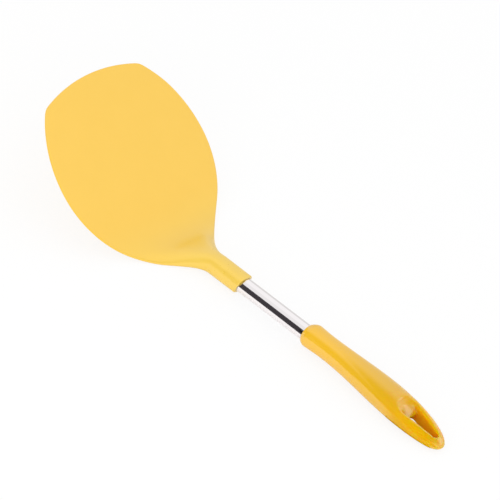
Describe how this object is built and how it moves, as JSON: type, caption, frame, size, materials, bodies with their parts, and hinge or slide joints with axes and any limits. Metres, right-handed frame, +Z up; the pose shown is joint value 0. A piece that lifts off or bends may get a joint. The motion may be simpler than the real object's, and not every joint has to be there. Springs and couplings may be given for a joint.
{
  "type": "omelette spatula",
  "caption": "Omelette spatula with a wide thin rounded blade, a cranked socketed neck, a polished tube shaft and a swelling handle with a hanging eye.",
  "frame": {"origin": "under the middle of the bounding box, on the table that the spatula lies on", "axes": "+X from the handle's end to the blade's front edge, +Z up, XZ is the mirror plane"},
  "size_m": [0.3602, 0.136, 0.0719],
  "materials": {
    "blade_nylon": "matte",
    "handle_plastic": "gloss",
    "tube_steel": "polished",
    "pin_steel": "plain",
    "plug_nylon": "matte"
  },
  "bodies": {
    "root": {"blade": "blade_nylon", "shaft_tube": "tube_steel", "handle": "handle_plastic", "front_plug": "plug_nylon", "rear_plug": "plug_nylon", "blade_pin": "pin_steel", "handle_pin": "pin_steel"}
  },
  "joints": []
}
